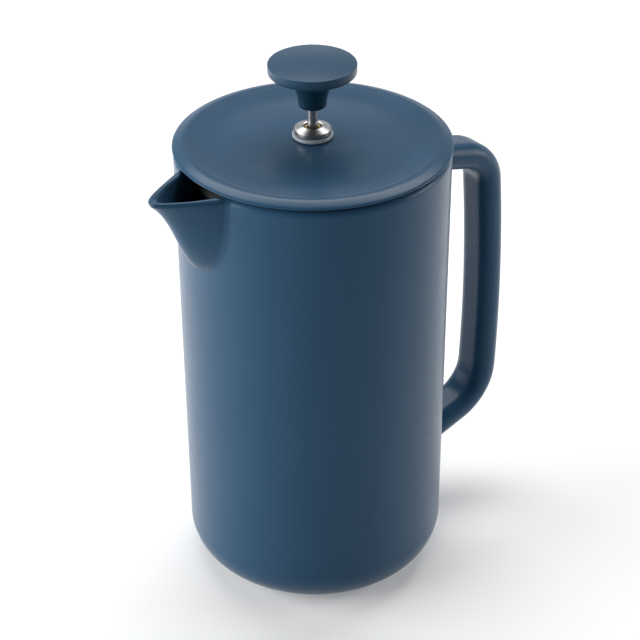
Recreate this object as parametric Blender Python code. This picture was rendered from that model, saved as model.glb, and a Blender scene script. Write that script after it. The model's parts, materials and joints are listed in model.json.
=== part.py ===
"""A stoneware french press: a thick-walled pouring carafe with its handle, a lid with a seal and a
steel rod guide, and a plunger with its filter stack.  Metres, +Z up.  The carafe's axis is the Z axis,
its flat base is at z = 0, the spout points to -X and the handle to +X."""

import math

import bmesh
import bpy
from mathutils import Vector

MM = 0.001

# Carafe
BODY_R_TOP = 55.63 * MM
BODY_R_FOOT = 54.8 * MM
FOOT_ROUND = 17.3 * MM
BORE_R = 50.0 * MM
FLOOR_Z = 7.0 * MM
FLOOR_ROUND = 10.0 * MM
RIM_Z = 194.1 * MM
RIM_ROUND = (BODY_R_TOP - BORE_R) / 2

# Spout
SPOUT_DROP = 36.7 * MM
SPOUT_HALF_WIDTH = 17.0 * MM
SPOUT_SWELL = 15.0 * MM
SPOUT_FLARE = 8.9 * MM
SPOUT_FLARE_FADE = 8.3 * MM
SPOUT_WALL = 3.6 * MM
SPOUT_NOSE_TOP = 0.36
SPOUT_NOSE_FOOT = 0.45
SPOUT_LIP_ROUND = 2.3 * MM

# Handle: two arms that leave the wall and a bowed grip between them
HANDLE_WIDTH = 18.4 * MM
HANDLE_THICKNESS = 11.8 * MM
HANDLE_ROUND = 5.5 * MM
GRIP_X = 89.8 * MM
GRIP_MID_Z = 110.0 * MM
GRIP_LEAN = math.radians(0.75)
GRIP_BOW = 3.7 * MM
UPPER_ARM_Z = 173.2 * MM
UPPER_ARM_SLOPE = math.radians(-14.7)
UPPER_BEND = 15.8 * MM
LOWER_ARM_Z = 28.6 * MM
LOWER_ARM_SLOPE = math.radians(18.4)
LOWER_BEND = 18.8 * MM
HANDLE_ROOT_X = 52.3 * MM

# Lid
LID_R = 56.0 * MM
LID_EDGE_Z = 194.4 * MM
LID_EDGE_R = 55.3 * MM
LID_CREST_Z = 197.5 * MM
LID_CREST_R = 50.6 * MM
LID_MOAT_Z = 196.85 * MM
LID_MOAT_R = 40.0 * MM
LID_TOP_Z = 198.1 * MM
LID_UNDERSIDE_Z = 192.0 * MM
SKIRT_R = 47.0 * MM
SKIRT_BEAD_R = 47.8 * MM
SKIRT_INNER_R = 42.5 * MM
SKIRT_FOOT_Z = 182.5 * MM
LID_HOLE_R = 6.6 * MM

# Rod guide through the lid
SHANK_R = 5.0 * MM
COLLAR_R = 7.4 * MM
COLLAR_SIDE_Z = 202.0 * MM
COLLAR_MOUTH_Z = 203.05 * MM
COLLAR_BORE_R = 3.6 * MM
SHANK_FOOT_Z = 183.0 * MM
WASHER_R = 8.24 * MM
LOCK_NUT_FLATS = 13.0 * MM

# Plunger, fully down
ROD_R = 2.15 * MM
ROD_FOOT_Z = 11.5 * MM
ROD_TOP_Z = 221.6 * MM
KNOB_R = 17.6 * MM
KNOB_EDGE_Z = 229.9 * MM
KNOB_DOME = 1.1 * MM
KNOB_DISC = 4.2 * MM
KNOB_STEM_FOOT_Z = 211.4 * MM
FILTER_R = 49.6 * MM
FILTER_Z = 16.2 * MM
SPRING_MAJOR_R = 47.0 * MM
SPRING_MINOR_R = 1.25 * MM

GAP = 0.3 * MM
ROUND_STEPS = 44
SMALL_STEPS = 20


def clear_scene():
    for item in list(bpy.data.objects):
        bpy.data.objects.remove(item, do_unlink=True)


def material(name, color, roughness, metallic=0.0):
    made = bpy.data.materials.new(name)
    made.use_nodes = True
    shader = made.node_tree.nodes["Principled BSDF"]
    shader.inputs["Base Color"].default_value = (*color, 1.0)
    shader.inputs["Roughness"].default_value = roughness
    shader.inputs["Metallic"].default_value = metallic
    return made


def add_object(name, shape, looks):
    """Turns a bmesh into an object that is smooth except at its sharp edges."""
    bmesh.ops.recalc_face_normals(shape, faces=shape.faces)
    mesh = bpy.data.meshes.new(name)
    shape.to_mesh(mesh)
    shape.free()
    mesh.shade_smooth()
    mesh.set_sharp_from_angle(angle=math.radians(35))
    mesh.materials.append(looks)
    made = bpy.data.objects.new(name, mesh)
    bpy.context.scene.collection.objects.link(made)
    return made


def make_cutter(helper):
    helper.hide_render = True
    helper.display_type = "WIRE"


def combine(target, helper, operation):
    """Adds or cuts a helper shape.  The helper itself is no part of the object."""
    make_cutter(helper)
    step = target.modifiers.new(helper.name, "BOOLEAN")
    step.operation = operation
    step.object = helper
    step.solver = "EXACT"


def arc(center_r, center_z, radius, start, end, steps):
    """Points on an arc of a turned profile, from one angle in degrees to another."""
    points = []
    for i in range(steps + 1):
        angle = math.radians(start + (end - start) * i / steps)
        points.append((center_r + radius * math.cos(angle), center_z + radius * math.sin(angle)))
    return points


def turned_shape(profile, steps):
    """A closed (radius, height) outline turned round the Z axis.  Points at radius 0 are single."""
    shape = bmesh.new()
    rings = []
    for radius, height in profile:
        if radius < 1e-7:
            rings.append([shape.verts.new((0.0, 0.0, height))] * steps)
            continue
        ring = []
        for i in range(steps):
            angle = 2 * math.pi * i / steps
            ring.append(shape.verts.new((radius * math.cos(angle), radius * math.sin(angle), height)))
        rings.append(ring)
    for this, following in zip(rings, rings[1:] + rings[:1]):
        for i in range(steps):
            j = (i + 1) % steps
            corners = []
            for vert in (this[i], this[j], following[j], following[i]):
                if vert not in corners:
                    corners.append(vert)
            if len(corners) > 2:
                shape.faces.new(corners)
    return shape


def turned(name, profile, looks, steps=ROUND_STEPS):
    return add_object(name, turned_shape(profile, steps), looks)


def tube(name, inner, outer, bottom, top, looks, steps=SMALL_STEPS, edge=0.0):
    """A washer, bush or sleeve, with its outer corners cut back by edge."""
    profile = [(inner, bottom), (outer - edge, bottom)]
    if edge:
        profile.append((outer, bottom + edge))
        profile.append((outer, top - edge))
    profile += [(outer - edge, top), (inner, top)]
    return turned(name, profile, looks, steps)


def prism_shape(outline, bottom, top):
    """A flat (x, y) outline raised from one height to another."""
    shape = bmesh.new()
    low = [shape.verts.new((x, y, bottom)) for x, y in outline]
    high = [shape.verts.new((x, y, top)) for x, y in outline]
    shape.faces.new(low)
    shape.faces.new(high)
    for i in range(len(outline)):
        j = (i + 1) % len(outline)
        shape.faces.new((low[i], low[j], high[j], high[i]))
    return shape


def circle_points(radius, steps, center=(0.0, 0.0), turn=0.0):
    points = []
    for i in range(steps):
        angle = turn + 2 * math.pi * i / steps
        points.append((center[0] + radius * math.cos(angle), center[1] + radius * math.sin(angle)))
    return points


def hex_nut(name, flats, bore, bottom, top, looks):
    nut = add_object(name, prism_shape(circle_points(flats / math.sqrt(3), 6), bottom, top), looks)
    over = 1.0 * MM
    hole = add_object(name + "_bore", prism_shape(circle_points(bore, SMALL_STEPS), bottom - over, top + over), looks)
    combine(nut, hole, "DIFFERENCE")
    return nut


def loft(name, sections, looks):
    """A closed solid through equal rings of points, with flat ends."""
    shape = bmesh.new()
    rings = [[shape.verts.new(point) for point in section] for section in sections]
    for this, following in zip(rings, rings[1:]):
        for i in range(len(this)):
            j = (i + 1) % len(this)
            shape.faces.new((this[i], this[j], following[j], following[i]))
    shape.faces.new(rings[0])
    shape.faces.new(rings[-1])
    return add_object(name, shape, looks)


# ---- carafe ------------------------------------------------------------------------------------------


def body_outline():
    """The outside of the carafe without its cavity, from the base up to the middle of the rim."""
    points = [(0.0, 0.0)]
    points += arc(BODY_R_FOOT - FOOT_ROUND, FOOT_ROUND, FOOT_ROUND, -90, 0, 8)
    points += arc(BODY_R_TOP - RIM_ROUND, RIM_Z - RIM_ROUND, RIM_ROUND, 0, 90, 4)
    points.append((0.0, RIM_Z))
    return points


def cavity_outline():
    """The coffee space: a straight bore with a rounded floor and a flared mouth."""
    points = [(0.0, FLOOR_Z)]
    points += arc(BORE_R - FLOOR_ROUND, FLOOR_Z + FLOOR_ROUND, FLOOR_ROUND, -90, 0, 5)
    points += arc(BORE_R + RIM_ROUND, RIM_Z - RIM_ROUND, RIM_ROUND, 180, 90, 4)[:-1]
    above = RIM_Z + 6 * MM
    points += [(BORE_R + RIM_ROUND, RIM_Z + 0.001 * MM), (BORE_R + RIM_ROUND, above), (0.0, above)]
    return points


def spout_width(drop):
    """Half the spout's width, where drop is the distance below the rim as a share of its height."""
    return SPOUT_HALF_WIDTH * max(0.0, 1 - drop**3) ** 0.55


def spout_reach(drop):
    """How far the middle of the spout stands from the axis: a swell, and a flare towards the lip."""
    flare = SPOUT_FLARE * math.exp(-drop * SPOUT_DROP / SPOUT_FLARE_FADE)
    return BODY_R_TOP + SPOUT_SWELL * (1 - drop) ** 0.57 + flare


def nose_section(drop, width, reach, root, height, steps=12):
    """A level cut through the spout: two nearly straight sides that meet in a rounded nose."""
    nose = SPOUT_NOSE_TOP + (SPOUT_NOSE_FOOT - SPOUT_NOSE_TOP) * drop
    flat = math.sqrt(1 + nose**2) - nose
    points = []
    for i in range(steps + 1):
        side = -1 + 2 * i / steps
        fall = (math.sqrt(side**2 + nose**2) - nose) / flat
        points.append((-(reach - (reach - root) * fall), side * width, height))
    inside = 46 * MM
    return [(-inside, -width, height)] + points + [(-inside, width, height)]


def root_of(width, radius):
    return math.sqrt(radius**2 - width**2)


def spout_form(looks):
    """The spout's outside, from its foot on the wall up to its rounded lip."""
    sections = []
    lip = SPOUT_LIP_ROUND / SPOUT_DROP
    for drop in (0.99, 0.96, 0.9, 0.8, 0.68, 0.55, 0.42, 0.3, 0.19, 0.11, lip):
        width = spout_width(drop)
        root = root_of(width, BODY_R_TOP) - 0.6 * MM
        sections.append(nose_section(drop, width, spout_reach(drop), root, RIM_Z - drop * SPOUT_DROP))
    inset = 1.6 * MM
    width = SPOUT_HALF_WIDTH - inset
    root = root_of(SPOUT_HALF_WIDTH, BODY_R_TOP) - inset
    sections.append(nose_section(lip, width, spout_reach(lip) - inset, root, RIM_Z - 0.3 * MM))
    return loft("spout_form", sections, looks)


def channel_form(looks):
    """The pouring channel, one wall inside the spout."""
    foot_wall = SPOUT_WALL / SPOUT_DROP * 1.2
    sections = []
    for drop in (0.9, 0.8, 0.66, 0.5, 0.3, 0.1, 0.03):
        width = max(2.5 * MM, spout_width(drop + foot_wall * drop) - SPOUT_WALL)
        reach = spout_reach(drop) - SPOUT_WALL * 1.2
        root = root_of(width, BORE_R + 0.4 * MM)
        sections.append(nose_section(drop, width, reach, root, RIM_Z - drop * SPOUT_DROP))
    top = [(x, y, RIM_Z + 6 * MM) for x, y, _ in sections[-1]]
    sections.append(top)
    return loft("channel_form", sections, looks)


def bend(corner, arriving, leaving, radius, steps):
    """Points on the arc that rounds a corner between two directions, in the handle's plane."""
    turn = arriving.angle(leaving)
    tangent = radius * math.tan(turn / 2)
    start = corner - arriving * tangent
    side = (leaving - arriving * arriving.dot(leaving)).normalized()
    center = start + side * radius
    points = []
    for i in range(steps + 1):
        angle = turn * i / steps
        points.append(center - side * radius * math.cos(angle) + arriving * radius * math.sin(angle))
    return points


def crossing(start, along, other, toward):
    """Where two lines of the handle's plane meet."""
    across = Vector((-toward.y, toward.x))
    return start + along * ((other - start).dot(across) / along.dot(across))


def handle_path():
    """The handle's middle line as (x, z) points, from the upper root round to the lower one."""
    upper = Vector((HANDLE_ROOT_X, UPPER_ARM_Z))
    lower = Vector((HANDLE_ROOT_X, LOWER_ARM_Z))
    out = Vector((math.cos(UPPER_ARM_SLOPE), math.sin(UPPER_ARM_SLOPE)))
    down = Vector((math.sin(GRIP_LEAN), -math.cos(GRIP_LEAN)))
    back = -Vector((math.cos(LOWER_ARM_SLOPE), math.sin(LOWER_ARM_SLOPE)))
    grip = Vector((GRIP_X, GRIP_MID_Z))
    points = [upper, upper + out * 9 * MM]
    points += bend(crossing(upper, out, grip, down), out, down, UPPER_BEND, 7)
    start = points[-1]
    after = bend(crossing(grip, down, lower, back), down, back, LOWER_BEND, 7)
    points += [start.lerp(after[0], i / 6) for i in range(1, 6)]
    points += after + [lower - back * 9 * MM, lower]
    middle = (UPPER_ARM_Z + LOWER_ARM_Z) / 2
    half = (UPPER_ARM_Z - LOWER_ARM_Z) / 2
    bowed = []
    for point in points:
        share = max(0.0, 1 - ((point.y - middle) / half) ** 2)
        reach = min(1.0, (point.x - HANDLE_ROOT_X) / (GRIP_X - HANDLE_ROOT_X))
        bowed.append(Vector((point.x + GRIP_BOW * share * reach, point.y)))
    return bowed


def handle_form(looks):
    """The handle: a rounded bar swept along its middle line."""
    corners = []
    for sign_t, sign_w, start in ((1, 1, 0), (-1, 1, 90), (-1, -1, 180), (1, -1, 270)):
        for i in range(4):
            angle = math.radians(start + 30 * i)
            across = sign_t * (HANDLE_THICKNESS / 2 - HANDLE_ROUND) + HANDLE_ROUND * math.cos(angle)
            aside = sign_w * (HANDLE_WIDTH / 2 - HANDLE_ROUND) + HANDLE_ROUND * math.sin(angle)
            corners.append((across, aside))
    path = handle_path()
    sections = []
    for i, point in enumerate(path):
        ahead = path[min(i + 1, len(path) - 1)] - path[max(i - 1, 0)]
        normal = Vector((-ahead.y, ahead.x)).normalized()
        section = []
        for across, aside in corners:
            section.append((point.x + normal.x * across, aside, point.y + normal.y * across))
        sections.append(section)
    return loft("handle_form", sections, looks)


def make_carafe(looks):
    body = turned("carafe", body_outline(), looks, 60)
    combine(body, spout_form(looks), "UNION")
    combine(body, handle_form(looks), "UNION")
    combine(body, turned("cavity_form", cavity_outline(), looks, 60), "DIFFERENCE")
    combine(body, channel_form(looks), "DIFFERENCE")
    return body


# ---- lid ---------------------------------------------------------------------------------------------


def make_lid(looks):
    """A gently domed disc with a moat inside its raised edge, and a skirt that enters the carafe."""
    profile = [(LID_HOLE_R, LID_UNDERSIDE_Z), (SKIRT_INNER_R - 3 * MM, LID_UNDERSIDE_Z)]
    profile += [(SKIRT_INNER_R, LID_UNDERSIDE_Z - 3 * MM), (SKIRT_INNER_R, SKIRT_FOOT_Z)]
    profile += [(SKIRT_BEAD_R, SKIRT_FOOT_Z), (SKIRT_BEAD_R, SKIRT_FOOT_Z + 1.2 * MM)]
    profile += [(SKIRT_R, SKIRT_FOOT_Z + 1.6 * MM), (SKIRT_R, LID_EDGE_Z), (LID_EDGE_R, LID_EDGE_Z)]
    profile += [(LID_R - 0.15 * MM, LID_EDGE_Z + 0.4 * MM), (LID_R, LID_EDGE_Z + 1.1 * MM)]
    profile += [(LID_R - 0.9 * MM, LID_CREST_Z - 0.75 * MM), (LID_R - 2.6 * MM, LID_CREST_Z - 0.15 * MM)]
    profile += [(LID_CREST_R, LID_CREST_Z), (LID_MOAT_R, LID_MOAT_Z), (30 * MM, 197.35 * MM)]
    profile += [(20 * MM, 197.9 * MM), (LID_HOLE_R + 2.4 * MM, LID_TOP_Z), (LID_HOLE_R, LID_TOP_Z)]
    return turned("lid", profile, looks, 52)


def make_lid_seal(looks):
    """A stretched ring on the skirt: a bead that lies in the mouth's flare, and a wiping fin."""
    inner = SKIRT_R + GAP
    profile = [(inner, 184.4 * MM), (48.6 * MM, 184.4 * MM), (49.65 * MM, 185.6 * MM)]
    profile += [(49.65 * MM, 186.4 * MM), (48.6 * MM, 187.2 * MM), (48.6 * MM, 189.6 * MM)]
    profile += [(49.65 * MM, 190.4 * MM), (49.65 * MM, 191.4 * MM), (50.0 * MM, 192.7 * MM)]
    profile += [(50.8 * MM, 193.6 * MM), (50.8 * MM, 194.0 * MM), (inner, 194.0 * MM)]
    return turned("lid_seal", profile, looks)


def make_rod_guide(steel, brass, silicone):
    """The turned guide that the rod slides in, with what clamps it to the lid from both sides."""
    hole = SHANK_R + GAP
    tube("collar_washer", hole, WASHER_R, LID_TOP_Z + GAP, 199.9 * MM, silicone, edge=0.4 * MM)
    flange_z = 200.2 * MM
    profile = [(COLLAR_BORE_R, SHANK_FOOT_Z), (SHANK_R, SHANK_FOOT_Z), (SHANK_R, flange_z)]
    profile += [(COLLAR_R, flange_z), (COLLAR_R, COLLAR_SIDE_Z), (COLLAR_BORE_R, COLLAR_MOUTH_Z)]
    turned("guide_collar", profile, steel, 28)
    tube("guide_bush", ROD_R + GAP, COLLAR_BORE_R - GAP, SHANK_FOOT_Z + 1 * MM, 202.3 * MM, brass)
    sleeve_ends = (LID_UNDERSIDE_Z + GAP, LID_TOP_Z - GAP)
    tube("bore_sleeve", hole, LID_HOLE_R - GAP, *sleeve_ends, silicone)
    tube("under_washer", hole, 9.6 * MM, 190.2 * MM, LID_UNDERSIDE_Z - GAP, silicone, edge=0.3 * MM)
    tube("clamp_washer", hole, 9.0 * MM, 188.9 * MM, 189.9 * MM, steel)
    hex_nut("lock_nut", LOCK_NUT_FLATS, hole, 184.9 * MM, 188.6 * MM, steel)


# ---- plunger -----------------------------------------------------------------------------------------


def make_knob(looks):
    """A mushroom knob: a shallow domed disc on a waisted stem with a blind hole for the insert."""
    hole_r = 3.7 * MM
    hole_top = 222.2 * MM
    disc_foot = KNOB_EDGE_Z - KNOB_DISC
    profile = [(0.0, hole_top), (hole_r, hole_top), (hole_r, KNOB_STEM_FOOT_Z), (4.6 * MM, KNOB_STEM_FOOT_Z)]
    profile += [(5.4 * MM, KNOB_STEM_FOOT_Z + 0.8 * MM), (5.75 * MM, 214.5 * MM), (6.1 * MM, 216.5 * MM)]
    profile += [(6.7 * MM, 218.5 * MM), (7.2 * MM, 220.6 * MM), (7.9 * MM, disc_foot - 2.2 * MM)]
    profile += [(9.0 * MM, disc_foot - 0.5 * MM), (10.2 * MM, disc_foot), (KNOB_R - 0.9 * MM, disc_foot)]
    profile += [(KNOB_R, disc_foot + 0.7 * MM), (KNOB_R, KNOB_EDGE_Z - 0.7 * MM)]
    profile += [(KNOB_R - 0.8 * MM, KNOB_EDGE_Z), (12 * MM, KNOB_EDGE_Z + 0.55 * KNOB_DOME)]
    profile += [(6 * MM, KNOB_EDGE_Z + 0.88 * KNOB_DOME), (0.0, KNOB_EDGE_Z + KNOB_DOME)]
    return turned("knob", profile, looks, 32)


def make_rod(looks):
    edge = 0.4 * MM
    profile = [(0.0, ROD_FOOT_Z), (ROD_R - edge, ROD_FOOT_Z), (ROD_R, ROD_FOOT_Z + edge)]
    profile += [(ROD_R, ROD_TOP_Z - edge), (ROD_R - edge, ROD_TOP_Z), (0.0, ROD_TOP_Z)]
    return turned("plunger_rod", profile, looks, SMALL_STEPS)


def drill_round(plate, name, ring_r, hole_r, count, looks, turn=0.0):
    """One circle of round holes through a flat plate."""
    over = (0.0, 40 * MM)
    shape = bmesh.new()
    for x, y in circle_points(ring_r, count, turn=turn):
        low = [shape.verts.new((px, py, over[0])) for px, py in circle_points(hole_r, 10, (x, y))]
        high = [shape.verts.new((px, py, over[1])) for px, py in circle_points(hole_r, 10, (x, y))]
        shape.faces.new(low)
        shape.faces.new(high)
        for i in range(10):
            j = (i + 1) % 10
            shape.faces.new((low[i], low[j], high[j], high[i]))
    combine(plate, add_object(name, shape, looks), "DIFFERENCE")


def make_spring_plate(looks):
    """The perforated plate whose rim carries the coil spring."""
    hole = ROD_R + GAP
    profile = [(hole, 17.1 * MM), (45.4 * MM, 17.1 * MM), (45.4 * MM, 18.9 * MM)]
    profile += [(44.6 * MM, 18.9 * MM), (44.6 * MM, 17.9 * MM), (hole, 17.9 * MM)]
    plate = turned("spring_plate", profile, looks)
    drill_round(plate, "inner_holes", 15 * MM, 2.6 * MM, 6, looks, math.radians(3))
    drill_round(plate, "outer_holes", 31 * MM, 4.2 * MM, 12, looks, math.radians(18))
    return plate


def make_coil_spring(looks):
    """The outer shape of the spring that presses the mesh to the carafe's wall."""
    center_z = 18.35 * MM
    profile = arc(SPRING_MAJOR_R, center_z, SPRING_MINOR_R, 0, 360, 8)[:-1]
    return turned("coil_spring", profile, looks)


def make_filter_mesh(looks):
    """The woven disc, with its edge turned up round the spring."""
    sheet = 0.5 * MM
    profile = [(ROD_R + GAP, FILTER_Z), (FILTER_R - 0.6 * MM, FILTER_Z), (FILTER_R, FILTER_Z + 0.6 * MM)]
    profile += [(FILTER_R, 19.8 * MM), (FILTER_R - sheet, 19.8 * MM)]
    profile += [(FILTER_R - sheet, FILTER_Z + sheet), (ROD_R + GAP, FILTER_Z + sheet)]
    return turned("filter_mesh", profile, looks)


def make_cross_plate(looks):
    """The retaining plate under the mesh: a hub and a ring joined by eight spokes."""
    bottom = 14.7 * MM
    top = FILTER_Z - GAP
    outer = 46.4 * MM
    profile = [(ROD_R + GAP, bottom), (outer, bottom), (outer, top), (ROD_R + GAP, top)]
    plate = turned("cross_plate", profile, looks)
    half_spoke = 3.0 * MM
    spokes = 8
    pitch = 2 * math.pi / spokes
    window = bmesh.new()
    for spoke in range(spokes):
        outline = []
        for radius, sweep in ((11.5 * MM, 1), (41.5 * MM, -1)):
            edge = math.asin(half_spoke / radius)
            for i in range(4):
                share = i / 3 if sweep > 0 else 1 - i / 3
                angle = spoke * pitch + edge + (pitch - 2 * edge) * share
                outline.append((radius * math.cos(angle), radius * math.sin(angle)))
        piece = prism_shape(outline, bottom - 1 * MM, top + 1 * MM)
        scrap = bpy.data.meshes.new("window")
        piece.to_mesh(scrap)
        piece.free()
        window.from_mesh(scrap)
        bpy.data.meshes.remove(scrap)
    combine(plate, add_object("windows", window, looks), "DIFFERENCE")
    return plate


def make_plunger(shell, steel, brass):
    make_knob(shell)
    tube("knob_insert", ROD_R + GAP, 3.4 * MM, 212.2 * MM, 221.9 * MM, brass)
    make_rod(steel)
    hole = ROD_R + GAP
    hex_nut("stack_nut", 8.0 * MM, hole, 19.6 * MM, 23.2 * MM, steel)
    tube("stack_washer", hole, 6.5 * MM, 18.2 * MM, 19.3 * MM, steel)
    make_spring_plate(steel)
    make_coil_spring(steel)
    make_filter_mesh(steel)
    make_cross_plate(steel)
    hex_nut("hub_nut", 9.0 * MM, hole, 10.6 * MM, 14.4 * MM, steel)


def main():
    clear_scene()
    glaze = material("blue_glaze", (0.045, 0.105, 0.175), 0.42)
    knob_shell = material("blue_shell", (0.035, 0.085, 0.15), 0.38)
    steel = material("polished_steel", (0.62, 0.61, 0.59), 0.22, 1.0)
    brass = material("brass", (0.6, 0.45, 0.2), 0.35, 1.0)
    silicone = material("clear_silicone", (0.7, 0.71, 0.69), 0.5)
    make_carafe(glaze)
    make_lid(glaze)
    make_lid_seal(silicone)
    make_rod_guide(steel, brass, silicone)
    make_plunger(knob_shell, steel, brass)


main()
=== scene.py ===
import json
import math

import bmesh
import bpy
import numpy as np
from mathutils import Matrix, Vector

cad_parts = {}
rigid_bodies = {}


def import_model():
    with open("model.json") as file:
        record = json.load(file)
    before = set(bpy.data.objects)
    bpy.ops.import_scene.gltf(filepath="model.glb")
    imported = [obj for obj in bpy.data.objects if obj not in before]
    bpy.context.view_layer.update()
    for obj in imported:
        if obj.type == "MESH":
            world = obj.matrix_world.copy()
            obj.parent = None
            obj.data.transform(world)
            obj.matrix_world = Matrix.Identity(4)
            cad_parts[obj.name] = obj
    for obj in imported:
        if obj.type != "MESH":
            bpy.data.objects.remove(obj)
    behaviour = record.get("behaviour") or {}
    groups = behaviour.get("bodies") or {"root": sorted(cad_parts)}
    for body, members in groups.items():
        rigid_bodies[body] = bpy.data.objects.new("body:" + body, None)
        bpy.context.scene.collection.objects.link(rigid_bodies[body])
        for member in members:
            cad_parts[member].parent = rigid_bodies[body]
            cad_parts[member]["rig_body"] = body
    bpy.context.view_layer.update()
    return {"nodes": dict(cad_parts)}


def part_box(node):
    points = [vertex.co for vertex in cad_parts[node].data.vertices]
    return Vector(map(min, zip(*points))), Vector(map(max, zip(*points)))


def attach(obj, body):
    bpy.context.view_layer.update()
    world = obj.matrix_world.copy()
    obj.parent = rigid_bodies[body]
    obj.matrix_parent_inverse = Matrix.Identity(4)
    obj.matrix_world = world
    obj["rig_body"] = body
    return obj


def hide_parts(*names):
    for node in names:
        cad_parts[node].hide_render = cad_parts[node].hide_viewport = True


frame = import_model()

# The looks of a stoneware french press.  The carafe's axis is Z, the spout points to -X and the handle
# to +X.  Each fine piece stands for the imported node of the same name, in the same place.
MM = 0.001

# Carafe
BODY_R_TOP = 55.63 * MM
BODY_R_FOOT = 54.8 * MM
FOOT_ROUND = 17.3 * MM
BORE_R = 50.0 * MM
FLOOR_Z = 7.0 * MM
FLOOR_ROUND = 10.0 * MM
RIM_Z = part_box("carafe")[1].z
RIM_ROUND = 2.7 * MM
GLAZE_MESH = 1.6 * MM

# Spout
SPOUT_DROP = 36.7 * MM
SPOUT_FOOT_Z = RIM_Z - SPOUT_DROP
SPOUT_HALF_WIDTH = 17.0 * MM
SPOUT_SWELL = 15.0 * MM
SPOUT_FLARE = 8.9 * MM
SPOUT_FLARE_FADE = 8.3 * MM
SPOUT_WALL = 3.6 * MM
SPOUT_NOSE_TOP = 0.36
SPOUT_NOSE_FOOT = 0.45
SPOUT_LIP_ROUND = 2.3 * MM
SPOUT_MOUTH_ROUND = 1.5 * MM
SPOUT_CREASE = 1.1 * MM
CHANNEL_LEAST_WALL = 0.8 * SPOUT_WALL
# The spout's distance is worked out only in this block, which holds all of it.
SPOUT_BLOCK_X = -38 * MM
SPOUT_BLOCK_HALF_Y = 26 * MM

# Handle: two arms that leave the wall and a bowed grip between them
HANDLE_WIDTH = 18.4 * MM
HANDLE_THICKNESS = 11.8 * MM
HANDLE_ROUND = 5.5 * MM
HANDLE_FILLET = 4.0 * MM
HANDLE_ROOT_X = 52.3 * MM
GRIP_X = 89.8 * MM
GRIP_MID_Z = 110.0 * MM
GRIP_LEAN = math.radians(0.75)
GRIP_BOW = 3.7 * MM
UPPER_ARM_Z = 173.2 * MM
UPPER_ARM_SLOPE = math.radians(-14.7)
UPPER_BEND = 15.8 * MM
LOWER_ARM_Z = 28.6 * MM
LOWER_ARM_SLOPE = math.radians(18.4)
LOWER_BEND = 18.8 * MM

ROD_R = 2.15 * MM
ROD_HOLE_R = ROD_R + 0.3 * MM
SHANK_HOLE_R = 5.3 * MM


# ---- shape helpers ---------------------------------------------------------------------------------


def add_mesh(name, mesh, looks):
    mesh.materials.clear()
    mesh.materials.append(looks)
    made = bpy.data.objects.new(name, mesh)
    bpy.context.scene.collection.objects.link(made)
    return made


def from_bmesh(name, shape, looks):
    """A smooth-shaded object whose flat faces stay flat beside its rounded edges."""
    bmesh.ops.recalc_face_normals(shape, faces=shape.faces)
    mesh = bpy.data.meshes.new(name)
    shape.to_mesh(mesh)
    shape.free()
    mesh.shade_smooth()
    mesh.set_sharp_from_angle(angle=math.radians(50))
    made = add_mesh(name, mesh, looks)
    made.modifiers.new("even_normals", "WEIGHTED_NORMAL").keep_sharp = True
    return made


def stand_for(piece, node):
    """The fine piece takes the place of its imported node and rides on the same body."""
    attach(piece, frame["nodes"][node]["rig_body"])
    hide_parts(node)


def rounded(corners, closed=True, steps=6):
    """Points of a (radius, height) outline.  A third number at a corner is the radius that rounds it."""
    points = []
    count = len(corners)
    for i, corner in enumerate(corners):
        here = Vector(corner[:2])
        at_end = not closed and i in (0, count - 1)
        if len(corner) < 3 or at_end:
            points.append(here)
            continue
        into = (here - Vector(corners[i - 1][:2])).normalized()
        out = (Vector(corners[(i + 1) % count][:2]) - here).normalized()
        turn = into.angle(out)
        radius = corner[2]
        start = here - into * radius * math.tan(turn / 2)
        side = (out - into * into.dot(out)).normalized()
        center = start + side * radius
        for j in range(steps + 1):
            angle = turn * j / steps
            points.append(center - side * radius * math.cos(angle) + into * radius * math.sin(angle))
    return [(point.x, point.y) for point in points]


def smooth_through(knots, steps=5):
    """A smooth (radius, height) curve through its knots."""
    points = []
    padded = [knots[0]] + list(knots) + [knots[-1]]
    for i in range(1, len(padded) - 2):
        a, b, c, d = (Vector(knot) for knot in padded[i - 1:i + 3])
        for j in range(steps):
            t = j / steps
            curve = 2 * b + (c - a) * t + (2 * a - 5 * b + 4 * c - d) * t**2
            points.append(tuple((curve + (3 * b - a - 3 * c + d) * t**3) / 2))
    return points + [tuple(knots[-1])]


def turned(name, outline, looks, steps=144):
    """A (radius, height) outline turned round the Z axis.  It closes on itself, or on the axis."""
    shape = bmesh.new()
    rings = []
    for radius, height in outline:
        if radius < 1e-7:
            rings.append([shape.verts.new((0, 0, height))] * steps)
            continue
        ring = []
        for i in range(steps):
            angle = 2 * math.pi * i / steps
            ring.append(shape.verts.new((radius * math.cos(angle), radius * math.sin(angle), height)))
        rings.append(ring)
    for this, following in zip(rings, rings[1:] + rings[:1]):
        for i in range(steps):
            j = (i + 1) % steps
            corners = list(dict.fromkeys((this[i], this[j], following[j], following[i])))
            if len(corners) > 2:
                shape.faces.new(corners)
    return from_bmesh(name, shape, looks)


def ring_outline(node, bore, edge):
    """The outline of a washer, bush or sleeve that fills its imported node, with rounded edges."""
    low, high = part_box(node)
    corners = [(bore, low.z, edge), (high.x, low.z, edge), (high.x, high.z, edge), (bore, high.z, edge)]
    return rounded(corners, steps=4)


def circle_points(radius, steps, center=(0.0, 0.0), turn=0.0):
    points = []
    for i in range(steps):
        angle = turn + 2 * math.pi * i / steps
        points.append((center[0] + radius * math.cos(angle), center[1] + radius * math.sin(angle)))
    return points


def raise_outline(shape, outline, bottom, top):
    """Adds a flat (x, y) outline to a bmesh, raised from one height to another."""
    low = [shape.verts.new((x, y, bottom)) for x, y in outline]
    high = [shape.verts.new((x, y, top)) for x, y in outline]
    shape.faces.new(low[::-1])
    shape.faces.new(high)
    for i in range(len(outline)):
        j = (i + 1) % len(outline)
        shape.faces.new((low[i], low[j], high[j], high[i]))


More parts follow.
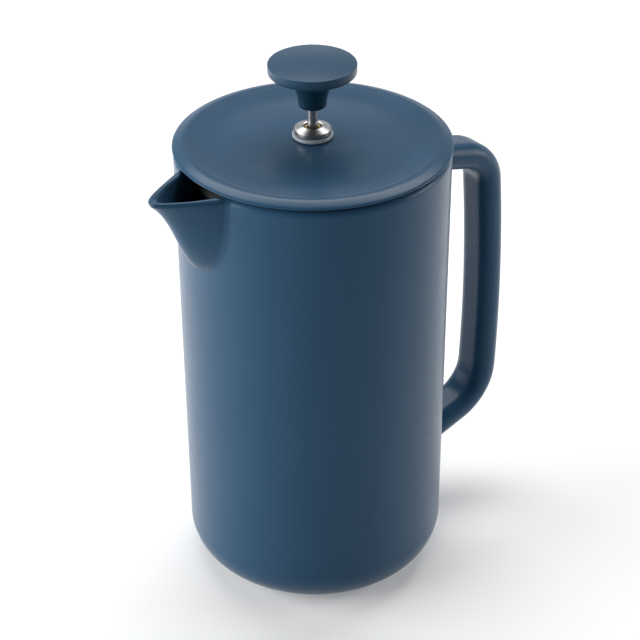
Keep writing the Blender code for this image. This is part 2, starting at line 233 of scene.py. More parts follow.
def apply_boolean(target, cutter_shape, operation):
    """Cuts or keeps with a helper shape, and leaves the result as the target's own mesh."""
    bmesh.ops.recalc_face_normals(cutter_shape, faces=cutter_shape.faces)
    mesh = bpy.data.meshes.new("helper")
    cutter_shape.to_mesh(mesh)
    cutter_shape.free()
    helper = bpy.data.objects.new("helper", mesh)
    bpy.context.scene.collection.objects.link(helper)
    step = target.modifiers.new("cut", "BOOLEAN")
    step.operation = operation
    step.object = helper
    graph = bpy.context.evaluated_depsgraph_get()
    result = bpy.data.meshes.new_from_object(target.evaluated_get(graph))
    target.modifiers.clear()
    target.data = result
    bpy.data.objects.remove(helper)
    bpy.data.meshes.remove(mesh)


def soften_edges(piece, width, segments=2):
    bevel = piece.modifiers.new("soft_edges", "BEVEL")
    bevel.width = width
    bevel.segments = segments
    bevel.limit_method = "ANGLE"
    bevel.angle_limit = math.radians(40)
    piece.data.shade_smooth()
    piece.modifiers.new("even_normals", "WEIGHTED_NORMAL").keep_sharp = True


# ---- carafe ----------------------------------------------------------------------------------------


def round_box(u, v, half_u, half_v, radius):
    """Distance to a box with rounded corners, in a plane where u and v are measured from its middle."""
    du = np.abs(u) - half_u + radius
    dv = np.abs(v) - half_v + radius
    outside = np.hypot(np.maximum(du, 0), np.maximum(dv, 0))
    return outside + np.minimum(np.maximum(du, dv), 0) - radius


def join(a, b, fillet):
    """Distance to two shapes together, with a fillet where they meet."""
    corner = np.hypot(np.maximum(fillet - a, 0), np.maximum(fillet - b, 0))
    return np.maximum(fillet, np.minimum(a, b)) - corner


def cut(a, b, rounding):
    """Distance to shape a without shape b, with its edges rounded."""
    corner = np.hypot(np.maximum(rounding + a, 0), np.maximum(rounding - b, 0))
    return np.minimum(-rounding, np.maximum(a, -b)) + corner


def body_distance(points):
    """The outside of the carafe: a slightly tapered cylinder with a rounded foot and rim."""
    z = points[:, 2]
    rise = np.clip((z - FOOT_ROUND) / (RIM_Z - FOOT_ROUND), 0, 1)
    inset = (BODY_R_TOP - BODY_R_FOOT) * (1 - rise)
    radius = np.where(z < RIM_Z / 2, FOOT_ROUND, RIM_ROUND)
    from_axis = np.hypot(points[:, 0], points[:, 1])
    return round_box(from_axis + inset, z - RIM_Z / 2, BODY_R_TOP, RIM_Z / 2, radius)


def cavity_distance(points):
    """The coffee space, which goes on past the rim."""
    height = RIM_Z + 60 * MM - FLOOR_Z
    middle = FLOOR_Z + height / 2
    from_axis = np.hypot(points[:, 0], points[:, 1])
    return round_box(from_axis, points[:, 2] - middle, BORE_R, height / 2, FLOOR_ROUND)


def spout_width(z):
    """Half the width of the spout where it leaves the wall."""
    drop = np.clip((RIM_Z - z) / SPOUT_DROP, 0, 0.999)
    return SPOUT_HALF_WIDTH * (1 - drop**3) ** 0.55


def nose_depth(x, y, z, wall):
    """How far a point lies outside the spout's side, along X, or outside the channel's side if it is a
    wall inside it.  Each level cut is two nearly straight sides that meet in a rounded nose."""
    drop = np.clip((RIM_Z - z) / SPOUT_DROP, 0, 0.999)
    width = np.maximum(spout_width(z - 1.2 * wall) - wall, 1.5 * MM)
    flare = SPOUT_FLARE * np.exp(-drop * SPOUT_DROP / SPOUT_FLARE_FADE)
    reach = BODY_R_TOP + SPOUT_SWELL * (1 - drop) ** 0.57 + flare - 1.2 * wall
    root = np.sqrt((BODY_R_TOP - wall) ** 2 - width**2) - 0.6 * MM
    nose = SPOUT_NOSE_TOP + (SPOUT_NOSE_FOOT - SPOUT_NOSE_TOP) * drop + wall / (12 * MM)
    fall = (np.sqrt((y / width) ** 2 + nose**2) - nose) / (np.sqrt(1 + nose**2) - nose)
    return -x - reach + (reach - root) * fall


def spout_distance(points, wall):
    """The spout or its channel without the flat top, as a distance near its surface."""
    x, y, z = points.T
    step = 0.05 * MM
    slope_y = (nose_depth(x, y + step, z, wall) - nose_depth(x, y - step, z, wall)) / (2 * step)
    slope_z = (nose_depth(x, y, z + step, wall) - nose_depth(x, y, z - step, wall)) / (2 * step)
    distance = nose_depth(x, y, z, wall) / np.sqrt(1 + slope_y**2 + slope_z**2)
    clear = SPOUT_CREASE + 0.1 * MM
    beside = np.minimum(clear, np.abs(y) - spout_width(z + clear))
    return np.maximum(distance, np.maximum(beside, SPOUT_FOOT_Z - z))


def bend(corner, arriving, leaving, radius, steps):
    """Points on the arc that rounds a corner between two directions."""
    turn = arriving.angle(leaving)
    start = corner - arriving * radius * math.tan(turn / 2)
    side = (leaving - arriving * arriving.dot(leaving)).normalized()
    center = start + side * radius
    points = []
    for i in range(steps + 1):
        angle = turn * i / steps
        points.append(center - side * radius * math.cos(angle) + arriving * radius * math.sin(angle))
    return points


def crossing(start, along, other, toward):
    """Where two lines of the handle's plane meet."""
    across = Vector((-toward.y, toward.x))
    return start + along * ((other - start).dot(across) / along.dot(across))


def handle_path():
    """The handle's middle line as (x, z) points, from the upper root round to the lower one."""
    upper = Vector((HANDLE_ROOT_X, UPPER_ARM_Z))
    lower = Vector((HANDLE_ROOT_X, LOWER_ARM_Z))
    out = Vector((math.cos(UPPER_ARM_SLOPE), math.sin(UPPER_ARM_SLOPE)))
    down = Vector((math.sin(GRIP_LEAN), -math.cos(GRIP_LEAN)))
    back = -Vector((math.cos(LOWER_ARM_SLOPE), math.sin(LOWER_ARM_SLOPE)))
    grip = Vector((GRIP_X, GRIP_MID_Z))
    above = bend(crossing(upper, out, grip, down), out, down, UPPER_BEND, 16)
    below = bend(crossing(grip, down, lower, back), down, back, LOWER_BEND, 16)
    straight = [above[-1].lerp(below[0], i / 24) for i in range(1, 24)]
    upper_arm = [upper.lerp(above[0], i / 8) for i in range(8)]
    lower_arm = [below[-1].lerp(lower, i / 8) for i in range(1, 9)]
    points = np.array(upper_arm + above + straight + below + lower_arm)
    middle = (UPPER_ARM_Z + LOWER_ARM_Z) / 2
    half = (UPPER_ARM_Z - LOWER_ARM_Z) / 2
    share = np.maximum(0, 1 - ((points[:, 1] - middle) / half) ** 2)
    reach = np.minimum(1, (points[:, 0] - HANDLE_ROOT_X) / (GRIP_X - HANDLE_ROOT_X))
    points[:, 0] += GRIP_BOW * share * reach
    return points


HANDLE_PATH = handle_path()


def handle_distance(points):
    """The handle: a rounded bar along its middle line."""
    nearest = np.full(len(points), np.inf)
    flat = points[:, [0, 2]]
    for start, end in zip(HANDLE_PATH, HANDLE_PATH[1:]):
        along = end - start
        share = np.clip((flat - start) @ along / (along @ along), 0, 1)
        offset = flat - start - share[:, None] * along
        nearest = np.minimum(nearest, np.hypot(offset[:, 0], offset[:, 1]))
    return round_box(nearest, points[:, 1], HANDLE_THICKNESS / 2, HANDLE_WIDTH / 2, HANDLE_ROUND)


def carafe_distance(points):
    """Signed distance to the whole carafe, near its surface."""
    surface = body_distance(points)
    at_handle = points[:, 0] > 38 * MM
    handle = handle_distance(points[at_handle])
    surface[at_handle] = join(surface[at_handle], handle, HANDLE_FILLET)
    at_spout = (points[:, 0] < SPOUT_BLOCK_X) & (np.abs(points[:, 1]) < SPOUT_BLOCK_HALF_Y)
    at_spout &= points[:, 2] > SPOUT_FOOT_Z - 4 * MM
    above = points[at_spout, 2] - RIM_Z
    side = spout_distance(points[at_spout], 0.0)
    spout = cut(side, -above, SPOUT_LIP_ROUND)
    surface[at_spout] = join(surface[at_spout], spout, SPOUT_CREASE)
    surface = cut(surface, cavity_distance(points), RIM_ROUND)
    channel = np.maximum(spout_distance(points[at_spout], SPOUT_WALL), side + CHANNEL_LEAST_WALL)
    surface[at_spout] = cut(surface[at_spout], channel, SPOUT_MOUTH_ROUND)
    return surface


def slope_of(distance, points):
    step = 0.02 * MM
    slope = np.empty_like(points)
    for axis in range(3):
        shift = np.zeros(3)
        shift[axis] = step
        slope[:, axis] = (distance(points + shift) - distance(points - shift)) / (2 * step)
    return slope


def settle(points, distance, rounds):
    """Moves points onto the surface where the distance is zero."""
    for _ in range(rounds):
        slope = slope_of(distance, points)
        steep = np.maximum((slope**2).sum(axis=1), 0.25)
        move = distance(points) / steep
        points = points - slope * np.clip(move, -GLAZE_MESH, GLAZE_MESH)[:, None]
    return points


def even_out(mesh, points, share):
    """Moves each point part of the way to the middle of its neighbours."""
    ends = np.empty(len(mesh.edges) * 2, np.int32)
    mesh.edges.foreach_get("vertices", ends)
    ends = ends.reshape(-1, 2)
    total = np.zeros_like(points)
    for this, other in ((0, 1), (1, 0)):
        for axis in range(3):
            total[:, axis] += np.bincount(ends[:, this], points[ends[:, other], axis], len(points))
    count = np.bincount(ends.ravel(), minlength=len(points))
    return points + share * (total / count[:, None] - points)


def make_carafe(looks):
    """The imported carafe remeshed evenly, then settled on its exact smooth surface."""
    rough = bpy.data.objects.new("rough", frame["nodes"]["carafe"].data.copy())
    bpy.context.scene.collection.objects.link(rough)
    remesh = rough.modifiers.new("even", "REMESH")
    remesh.mode = "VOXEL"
    remesh.voxel_size = GLAZE_MESH
    graph = bpy.context.evaluated_depsgraph_get()
    mesh = bpy.data.meshes.new_from_object(rough.evaluated_get(graph))
    bpy.data.objects.remove(rough)
    shape = bmesh.new()
    shape.from_mesh(mesh)
    near_rim = RIM_Z - 5 * MM
    fine = []
    for edge in shape.edges:
        middle = (edge.verts[0].co + edge.verts[1].co) / 2
        at_spout = middle.x < SPOUT_BLOCK_X and abs(middle.y) < SPOUT_BLOCK_HALF_Y
        at_spout = at_spout and middle.z > SPOUT_FOOT_Z - 6 * MM
        if middle.z > near_rim or at_spout:
            fine.append(edge)
    bmesh.ops.subdivide_edges(shape, edges=fine, cuts=1, use_grid_fill=True)
    shape.to_mesh(mesh)
    shape.free()
    points = np.empty(len(mesh.vertices) * 3, np.float32)
    mesh.vertices.foreach_get("co", points)
    points = settle(points.reshape(-1, 3).astype(float), carafe_distance, 4)
    for _ in range(4):
        points = settle(even_out(mesh, points, 0.6), carafe_distance, 2)
    mesh.vertices.foreach_set("co", points.astype(np.float32).ravel())
    mesh.update()
    mesh.shade_smooth()
    normals = slope_of(carafe_distance, points)
    normals /= np.linalg.norm(normals, axis=1)[:, None]
    mesh.normals_split_custom_set_from_vertices(normals.tolist())
    mesh.name = "fine_carafe"
    stand_for(add_mesh("fine_carafe", mesh, looks), "carafe")


# ---- lid -------------------------------------------------------------------------------------------


def make_lid(looks):
    """A gently domed disc with a moat inside its soft raised edge, and a skirt that enters the carafe."""
    hole, under, foot = 6.6 * MM, 192 * MM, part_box("lid")[0].z
    top = [(9.0, 198.1), (20, 197.9), (30, 197.35), (36, 196.95), (40, 196.82), (44, 196.98)]
    top += [(48.2, 197.28), (49.4, 197.42), (50.4, 197.5), (51.4, 197.46), (52.4, 197.3)]
    top += [(53.5, 196.95), (54.6, 196.55), (55.5, 196.15), (56.0, 195.7), (55.85, 195.3), (55.4, 195.1)]
    outline = [(hole, 198.1 * MM)]
    outline += smooth_through([(r * MM, z * MM) for r, z in top])
    skirt = [(54.9 * MM, 195.15 * MM), (47 * MM, 195.15 * MM, 0.5 * MM), (47 * MM, foot + 1.6 * MM)]
    skirt += [(47.8 * MM, foot + 1.2 * MM, 0.3 * MM), (47.8 * MM, foot, 0.5 * MM)]
    skirt += [(42.5 * MM, foot, 1.5 * MM), (42.5 * MM, under, 4 * MM), (hole, under)]
    outline += rounded(skirt, closed=False)
    stand_for(turned("fine_lid", outline, looks, 256), "lid")


def make_lid_seal(looks):
    low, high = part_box("lid_seal")
    inner = 47.3 * MM
    corners = [(inner, low.z), (48.6 * MM, low.z, 0.3 * MM), (49.65 * MM, low.z + 1.2 * MM, 0.4 * MM)]
    corners += [(49.65 * MM, low.z + 2 * MM, 0.4 * MM), (48.6 * MM, low.z + 2.8 * MM, 0.4 * MM)]
    corners += [(48.6 * MM, 189.6 * MM, 0.4 * MM), (49.65 * MM, 190.4 * MM, 0.4 * MM)]
    corners += [(49.65 * MM, 191.4 * MM, 0.5 * MM), (50 * MM, 192.7 * MM, 0.4 * MM)]
    corners += [(high.x, 193.6 * MM, 0.2 * MM), (high.x, high.z, 0.15 * MM), (inner, high.z)]
    stand_for(turned("fine_lid_seal", rounded(corners), looks, 192), "lid_seal")


def make_guide(steel, brass, silicone):
    """What clamps the rod's guide to the lid from both sides, and the liner inside it."""
    low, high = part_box("guide_collar")
    mouth, side, flange = 3.6 * MM, 202 * MM, 200.2 * MM
    corners = [(mouth, low.z, 0.3 * MM), (5 * MM, low.z, 0.4 * MM), (5 * MM, flange)]
    corners += [(high.x, flange, 0.25 * MM), (high.x, side, 0.3 * MM)]
    corners += [(mouth + 0.5 * MM, high.z, 0.15 * MM), (mouth, high.z - 0.2 * MM, 0.1 * MM)]
    stand_for(turned("fine_guide_collar", rounded(corners), steel, 128), "guide_collar")
    rings = (
        ("collar_washer", SHANK_HOLE_R, 0.55, silicone, "silicone"),
        ("guide_bush", ROD_HOLE_R, 0.12, brass, "brass"),
        ("bore_sleeve", SHANK_HOLE_R, 0.15, silicone, "silicone"),
        ("under_washer", SHANK_HOLE_R, 0.4, silicone, "silicone"),
        ("clamp_washer", SHANK_HOLE_R, 0.2, steel, "steel"),
    )
    for node, bore, edge, looks, slot in rings:
        stand_for(turned("fine_" + node, ring_outline(node, bore, edge * MM), looks, 96), node)
    make_nut("lock_nut", SHANK_HOLE_R, steel)


def make_nut(node, bore, looks):
    """A hexagon nut whose corners are chamfered by a double cone."""
    low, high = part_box(node)
    corner_r = high.x
    shape = bmesh.new()
    raise_outline(shape, circle_points(corner_r, 6), low.z, high.z)
    nut = from_bmesh("fine_" + node, shape, looks)
    nut.modifiers.clear()
    face_r = corner_r * 0.9
    rise = (corner_r - face_r) * 0.55
    cone = turned("cone", [(bore, low.z), (face_r, low.z), (corner_r + 0.2 * MM, low.z + rise),
                           (corner_r + 0.2 * MM, high.z - rise), (face_r, high.z), (bore, high.z)], looks, 72)
    form = bmesh.new()
    form.from_mesh(cone.data)
    bpy.data.objects.remove(cone)
    apply_boolean(nut, form, "INTERSECT")
    soften_edges(nut, 0.12 * MM)
    stand_for(nut, node)


# ---- plunger ---------------------------------------------------------------------------------------


def make_knob(looks):
    """A mushroom knob: a shallow domed disc on a waisted stem with a blind hole for the insert."""
    low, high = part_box("knob")
    hole_r, hole_top = 3.7 * MM, 222.2 * MM
    rim = high.x
    edge_z = high.z - 1.1 * MM
    disc_foot = edge_z - 4.2 * MM
    outline = [(0.0, hole_top), (hole_r, hole_top), (hole_r, low.z + 0.3 * MM), (hole_r + 0.3 * MM, low.z)]
    stem = [(4.6 * MM, low.z), (5.3 * MM, low.z + 0.35 * MM), (5.65 * MM, low.z + 1.4 * MM)]
    stem += [(5.75 * MM, 214.5 * MM), (6.1 * MM, 216.5 * MM), (6.7 * MM, 218.5 * MM), (7.2 * MM, 220.6 * MM)]
    stem += [(7.9 * MM, disc_foot - 2.2 * MM), (9.0 * MM, disc_foot - 0.5 * MM), (10.4 * MM, disc_foot)]
    outline += smooth_through(stem)
    outline += rounded([(10.6 * MM, disc_foot), (rim, disc_foot, 1.1 * MM), (rim, edge_z, 0.5 * MM),
                        (14 * MM, edge_z + 0.4 * MM)], closed=False)
    outline += [(10 * MM, edge_z + 0.745 * MM), (6 * MM, edge_z + 0.97 * MM), (0.0, high.z)]
    stand_for(turned("fine_knob", outline, looks, 160), "knob")


def make_rod(looks):
    low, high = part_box("plunger_rod")
    corners = [(0.0, low.z), (ROD_R, low.z, 0.4 * MM), (ROD_R, high.z, 0.4 * MM), (0.0, high.z)]
    rod = turned("fine_plunger_rod", rounded(corners, closed=False), looks, 64)
    stand_for(rod, "plunger_rod")


def make_spring_plate(looks):
    """A pressed plate with two circles of holes and an upturned edge."""
    low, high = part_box("spring_plate")
    rim, sheet = high.x, 0.8 * MM
    corners = [(ROD_HOLE_R, low.z), (rim, low.z, 0.5 * MM), (rim, high.z, 0.3 * MM)]
    corners += [(rim - sheet, high.z, 0.3 * MM), (rim - sheet, low.z + sheet, 0.3 * MM)]
    corners += [(ROD_HOLE_R, low.z + sheet)]
    plate = turned("fine_spring_plate", rounded(corners, steps=3), looks, 120)
    plate.modifiers.clear()
    holes = bmesh.new()
    below, over = low.z - 1 * MM, high.z + 1 * MM
    for ring_r, hole_r, count, turn in ((15 * MM, 2.6 * MM, 6, 3), (31 * MM, 4.2 * MM, 12, 18)):
        for spot in circle_points(ring_r, count, turn=math.radians(turn)):
            raise_outline(holes, circle_points(hole_r, 36, spot), below, over)
    apply_boolean(plate, holes, "DIFFERENCE")
    soften_edges(plate, 0.1 * MM)
    stand_for(plate, "spring_plate")


def make_coil_spring(looks):
    """The real spring: a wire wound into a long coil whose ends are joined in a ring."""
    low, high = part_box("coil_spring")
    wire_r = 0.3 * MM
    minor = (high.z - low.z) / 2 - wire_r
    major = high.x - minor - wire_r
    middle = (high.z + low.z) / 2
    turns, steps = 128, 14
    curve = bpy.data.curves.new("fine_coil_spring", "CURVE")
    curve.dimensions = "3D"
    curve.bevel_depth = wire_r
    curve.bevel_resolution = 1
    spline = curve.splines.new("POLY")
    spline.points.add(turns * steps - 1)
    for i, point in enumerate(spline.points):
        around = 2 * math.pi * i / (turns * steps)
        winding = around * turns
        radius = major + minor * math.cos(winding)
        height = middle + minor * math.sin(winding)
        point.co = (radius * math.cos(around), radius * math.sin(around), height, 1)
    spline.use_cyclic_u = True
    wound = bpy.data.objects.new("wound", curve)
    mesh = bpy.data.meshes.new_from_object(wound)
    bpy.data.objects.remove(wound)
    mesh.shade_smooth()
    stand_for(add_mesh("fine_coil_spring", mesh, looks), "coil_spring")


def make_filter_mesh(looks):
    """The woven disc, with its edge turned up round the spring and over it."""
    low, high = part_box("filter_mesh")
    rim, sheet = high.x, 0.35 * MM
    corners = [(ROD_HOLE_R, low.z), (rim, low.z, 0.9 * MM), (rim, high.z, 0.2 * MM)]
    corners += [(rim - sheet, high.z, 0.1 * MM), (rim - sheet, low.z + sheet, 0.5 * MM)]
    corners += [(ROD_HOLE_R, low.z + sheet)]
    woven = turned("fine_filter_mesh", rounded(corners, steps=5), looks, 240)
    stand_for(woven, "filter_mesh")


def make_cross_plate(looks):
    """The plate under the mesh: a hub and a ring joined by eight spokes."""
    low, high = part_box("cross_plate")
    corners = [(ROD_HOLE_R, low.z), (high.x, low.z, 0.3 * MM)]
    corners += [(high.x, high.z, 0.3 * MM), (ROD_HOLE_R, high.z)]
    plate = turned("fine_cross_plate", rounded(corners, steps=3), looks, 120)
    plate.modifiers.clear()
    half_spoke, spokes, steps = 3.0 * MM, 8, 9
    pitch = 2 * math.pi / spokes
    windows = bmesh.new()
    for spoke in range(spokes):
        outline = []
        for radius, outward in ((11.5 * MM, True), (41.5 * MM, False)):
            edge = math.asin(half_spoke / radius)
            for i in range(steps):
                share = i / (steps - 1) if outward else 1 - i / (steps - 1)
                angle = spoke * pitch + edge + (pitch - 2 * edge) * share
                outline.append((radius * math.cos(angle), radius * math.sin(angle)))
        raise_outline(windows, outline, low.z - 1 * MM, high.z + 1 * MM)
    apply_boolean(plate, windows, "DIFFERENCE")
    soften_edges(plate, 0.12 * MM)
    stand_for(plate, "cross_plate")


def make_plunger(shell, steel, brass, woven):
    make_knob(shell)
    make_rod(steel)
    insert = turned("fine_knob_insert", ring_outline("knob_insert", ROD_HOLE_R, 0.15 * MM), brass, 64)
    stand_for(insert, "knob_insert")
    washer = turned("fine_stack_washer", ring_outline("stack_washer", ROD_HOLE_R, 0.2 * MM), steel, 96)
    stand_for(washer, "stack_washer")
    make_nut("stack_nut", ROD_HOLE_R, steel)
    make_spring_plate(steel)
    make_coil_spring(steel)
    make_filter_mesh(woven)
    make_cross_plate(steel)
    make_nut("hub_nut", ROD_HOLE_R, steel)


# ---- materials -------------------------------------------------------------------------------------


class Looks:
    """A material's node tree, with short ways to add what most of these materials need."""

    def __init__(self, name, color, **sockets):
        self.material = bpy.data.materials.new(name)
        self.material.use_nodes = True
        self.tree = self.material.node_tree
        self.shader = self.tree.nodes["Principled BSDF"]
        self.shader.inputs["Base Color"].default_value = (*color, 1)
        for socket, value in sockets.items():
            self.shader.inputs[socket.replace("_", " ")].default_value = value
        self.place = self.node("ShaderNodeTexCoord").outputs["Object"]

    def node(self, kind, inputs=(), **settings):
        made = self.tree.nodes.new(kind)
        for name, value in settings.items():
            setattr(made, name, value)
        for socket, value in dict(inputs).items():
            if isinstance(value, bpy.types.NodeSocket):
                self.tree.links.new(value, made.inputs[socket])
            else:
                made.inputs[socket].default_value = value
        return made

    def noise(self, scale, detail=3.0, stretch=None):
        """Noise with features of 1 / scale metres, from 0 to 1."""
        place = self.place
        if stretch:
            place = self.node("ShaderNodeVectorMath", {0: place, 1: stretch}, operation="MULTIPLY").outputs[0]
        inputs = {"Vector": place, "Scale": scale, "Detail": detail, "Roughness": 0.55}
        return self.node("ShaderNodeTexNoise", inputs).outputs["Fac"]

    def spread(self, value, low, high, start=0.3, end=0.7):
        """Spreads a noise over a range of numbers."""
        inputs = {"Value": value, "From Min": start, "From Max": end, "To Min": low, "To Max": high}
        return self.node("ShaderNodeMapRange", inputs).outputs["Result"]

    def blend(self, share, first, second):
        """A colour between two others."""
        mix = self.node("ShaderNodeMix", data_type="RGBA")
        for socket, value in ((0, share), (6, first), (7, second)):
            if isinstance(value, bpy.types.NodeSocket):
                self.tree.links.new(value, mix.inputs[socket])
            else:
                mix.inputs[socket].default_value = (*value, 1)
        return mix.outputs[2]

    def drive(self, socket, value):
        self.tree.links.new(value, self.shader.inputs[socket])

    def bump(self, *layers):
        """Bump from (height, depth in metres) layers."""
        normal = None
        for height, depth in layers:
            inputs = {"Height": height, "Strength": 1.0, "Distance": depth}
            if normal is not None:
                inputs["Normal"] = normal
            normal = self.node("ShaderNodeBump", inputs).outputs["Normal"]
        self.drive("Normal", normal)


def glaze_looks():
    """Satin stoneware glaze: slightly uneven in colour and gloss, with a faint orange-peel surface."""
    looks = Looks("satin_blue_glaze", (0.0186, 0.0572, 0.1075), Specular_Tint=(0.16, 0.16, 0.16, 1))
    cloudy = looks.spread(looks.noise(22, 2), 0, 1, 0.1, 0.9)
    color = looks.blend(cloudy, (0.0178, 0.0548, 0.1035), (0.0194, 0.0596, 0.1115))
    looks.drive("Base Color", color)
    looks.drive("Roughness", looks.spread(looks.noise(60, 2), 0.26, 0.32, 0.1, 0.9))
    looks.bump((looks.noise(120, 1), 0.03 * MM))
    return looks.material


def shell_looks():
    """Satin moulded shell of the knob, with painted shade: below its disc the stem is coloured much darker,
    standing in for the shade the disc casts on it.
    """
    looks = Looks("satin_blue_shell", (0.0175, 0.053, 0.0985), Specular_Tint=(0.16, 0.16, 0.16, 1))
    cloudy = looks.spread(looks.noise(70, 2), 0, 1, 0.1, 0.9)
    disc = looks.blend(cloudy, (0.0168, 0.051, 0.095), (0.0182, 0.055, 0.102))
    height = looks.node("ShaderNodeSeparateXYZ", {0: looks.place}).outputs["Z"]
    stem_top, disc_top = 224.5 * MM, 229.9 * MM
    clear_of_painted_shade = looks.spread(height, 0, 1, stem_top, disc_top)
    # Painted shade: under the disc the colour fades to a far darker blue, standing in for the disc's shade on
    # the stem.
    looks.drive("Base Color", looks.blend(clear_of_painted_shade, (0.004, 0.02, 0.036), disc))
    looks.drive("Roughness", looks.spread(looks.noise(500, 2), 0.26, 0.34, 0.1, 0.9))
    looks.bump((looks.noise(1400, 1), 0.002 * MM))
    return looks.material


def steel_looks():
    """Polished stainless steel with the fine rings that turning leaves."""
    looks = Looks("polished_steel", (0.66, 0.65, 0.63), Metallic=1.0)
    rings = looks.noise(1, 2, stretch=(90, 90, 5000))
    looks.drive("Roughness", looks.spread(rings, 0.26, 0.36))
    looks.drive("Base Color", looks.blend(looks.noise(300, 2), (0.33, 0.33, 0.33), (0.4, 0.4, 0.4)))
    looks.bump((rings, 0.003 * MM))
    return looks.material


def brass_looks():
    looks = Looks("turned_brass", (0.6, 0.45, 0.2), Metallic=1.0)
    rings = looks.noise(1, 2, stretch=(90, 90, 4000))
    looks.drive("Roughness", looks.spread(rings, 0.25, 0.38))
    looks.drive("Base Color", looks.blend(looks.noise(600, 2), (0.33, 0.26, 0.11), (0.46, 0.37, 0.18)))
    looks.bump((rings, 0.004 * MM))
    return looks.material


def silicone_looks(name, milky, clear):
    """Translucent silicone with a soft bloom.  The share that light passes straight through is clear."""
    looks = Looks(name, milky, Specular_IOR_Level=0.4, Transmission_Weight=clear, IOR=1.41)
    bloom = tuple(min(1.0, 1.25 * part) for part in milky)
    looks.drive("Base Color", looks.blend(looks.noise(900, 3), milky, bloom))
    looks.drive("Roughness", looks.spread(looks.noise(700, 3), 0.3, 0.45))
    looks.bump((looks.noise(1200, 2), 0.01 * MM))
    return looks.material


def woven_looks():
    """Fine woven steel wire: two crossing sets of ridges."""
    looks = Looks("woven_steel", (0.6, 0.6, 0.58), Metallic=1.0)
    ridges = []
    for direction in ("X", "Y"):
        inputs = {"Vector": looks.place, "Scale": 420.0, "Distortion": 0.0}
        wave = looks.node("ShaderNodeTexWave", inputs, bands_direction=direction)
        ridges.append(wave.outputs["Fac"])
    weave = looks.node("ShaderNodeMath", {0: ridges[0], 1: ridges[1]}, operation="MAXIMUM").outputs[0]
    looks.drive("Base Color", looks.blend(weave, (0.12, 0.12, 0.12), (0.66, 0.65, 0.63)))
    looks.drive("Roughness", looks.spread(looks.noise(800, 2), 0.28, 0.42))
    looks.bump((weave, 0.15 * MM))
    return looks.material


# ---- stage -----------------------------------------------------------------------------------------


def make_floor():
    shape = bmesh.new()
    bmesh.ops.create_grid(shape, x_segments=2, y_segments=2, size=8.0)
    mesh = bpy.data.meshes.new("floor")
    shape.to_mesh(mesh)
    shape.free()
    paper = Looks("white_paper", (0.66, 0.66, 0.66), Roughness=0.9, Specular_IOR_Level=0.1)
    paper.shader.inputs["Emission Color"].default_value = (1, 1, 1, 1)
    paper.shader.inputs["Emission Strength"].default_value = 0.2
    add_mesh("floor", mesh, paper.material)


def make_light(name, place, target, size, power):
    """A soft rectangular lamp that faces its target."""
    lamp = bpy.data.lights.new(name, "AREA")
    lamp.shape = "RECTANGLE"
    lamp.size, lamp.size_y = size
    lamp.energy = power
    made = bpy.data.objects.new(name, lamp)
    made.location = place
    made.rotation_mode = "QUATERNION"
    made.rotation_quaternion = (Vector(target) - Vector(place)).to_track_quat("-Z", "Y")
    bpy.context.scene.collection.objects.link(made)


def seen_from_camera(right, ahead, up):
    """A place given to the right of, beyond and above the press, as the camera sees it."""
    return Matrix.Rotation(CAMERA_AZIMUTH, 3, "Z") @ Vector((right, ahead, up))


def make_lights():
    middle = (0, 0, 0.1)
    make_light("back_softbox", seen_from_camera(0.05, 0.7, 1.27), middle, (1.6, 0.6), 23)
    make_light("left_window", seen_from_camera(-1.0, -0.2, 0.42), middle, (0.9, 0.7), 17)
    make_light("right_fill", seen_from_camera(1.1, 0.1, 0.4), middle, (0.5, 0.6), 5)


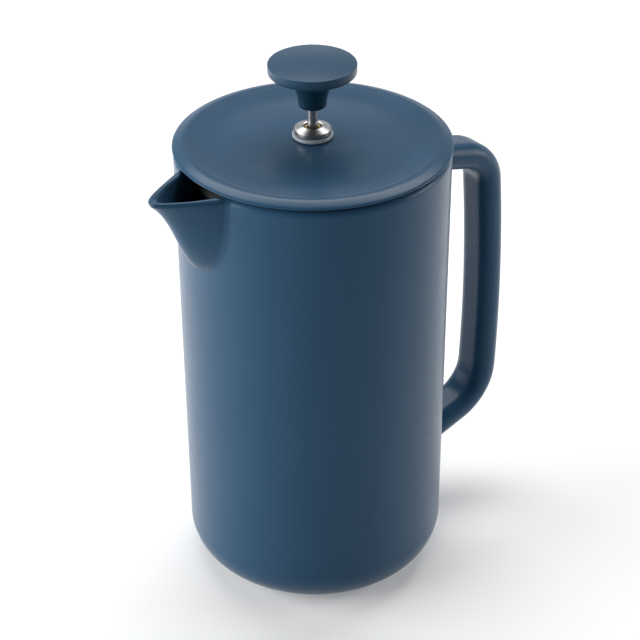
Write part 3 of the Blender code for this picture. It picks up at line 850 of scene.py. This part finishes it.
def make_world():
    """A studio room that is pale near the horizon, dim above, and dimmer behind the camera."""
    world = bpy.data.worlds.new("studio")
    bpy.context.scene.world = world
    world.use_nodes = True
    tree = world.node_tree
    place = tree.nodes.new("ShaderNodeTexCoord")
    axes = tree.nodes.new("ShaderNodeSeparateXYZ")
    tree.links.new(place.outputs["Generated"], axes.inputs["Vector"])
    height = tree.nodes.new("ShaderNodeMapRange")
    for socket, value in (("From Min", 0.15), ("From Max", 0.5), ("To Min", 0.95), ("To Max", 0.1)):
        height.inputs[socket].default_value = value
    tree.links.new(axes.outputs["Z"], height.inputs["Value"])
    ahead = tree.nodes.new("ShaderNodeVectorMath")
    ahead.operation = "DOT_PRODUCT"
    tree.links.new(place.outputs["Generated"], ahead.inputs[0])
    ahead.inputs[1].default_value = seen_from_camera(0, -1, 0)
    side = tree.nodes.new("ShaderNodeMapRange")
    for socket, value in (("From Min", 0.1), ("From Max", 0.9), ("To Min", 1.0), ("To Max", 0.45)):
        side.inputs[socket].default_value = value
    tree.links.new(ahead.outputs["Value"], side.inputs["Value"])
    strength = tree.nodes.new("ShaderNodeMath")
    strength.operation = "MULTIPLY"
    tree.links.new(height.outputs["Result"], strength.inputs[0])
    tree.links.new(side.outputs["Result"], strength.inputs[1])
    sky = tree.nodes["Background"]
    sky.inputs["Color"].default_value = (0.95, 0.97, 1.0, 1)
    tree.links.new(strength.outputs["Value"], sky.inputs["Strength"])


CAMERA_AZIMUTH = math.radians(-37)


def make_camera():
    """The camera looks along the line that the spout and the handle leave at either side."""
    pitch, roll = math.radians(32.13), math.radians(-0.272)
    sensor, focal_share = 36.0, 2006 / 640
    data = bpy.data.cameras.new("camera")
    data.sensor_width = sensor
    data.lens = sensor * focal_share
    data.clip_start, data.clip_end = 0.05, 50
    camera = bpy.data.objects.new("camera", data)
    turn = Matrix.Rotation(CAMERA_AZIMUTH, 4, "Z")
    place = turn @ Matrix.Translation((0.00253, -0.7125, 0.5595))
    look = Matrix.Rotation(math.pi / 2 - pitch, 4, "X") @ Matrix.Rotation(roll, 4, "Z")
    camera.matrix_world = place @ look
    bpy.context.scene.collection.objects.link(camera)
    bpy.context.scene.camera = camera


def main():
    bpy.context.scene.view_settings.view_transform = "Standard"
    make_camera()
    glaze, steel, brass = glaze_looks(), steel_looks(), brass_looks()
    make_carafe(glaze)
    make_lid(glaze)
    make_lid_seal(silicone_looks("clear_silicone", (0.08, 0.085, 0.08), 0.5))
    make_guide(steel, brass, silicone_looks("milky_silicone", (0.3, 0.34, 0.38), 0.3))
    make_plunger(shell_looks(), steel, brass, woven_looks())
    make_floor()
    make_lights()
    make_world()


main()
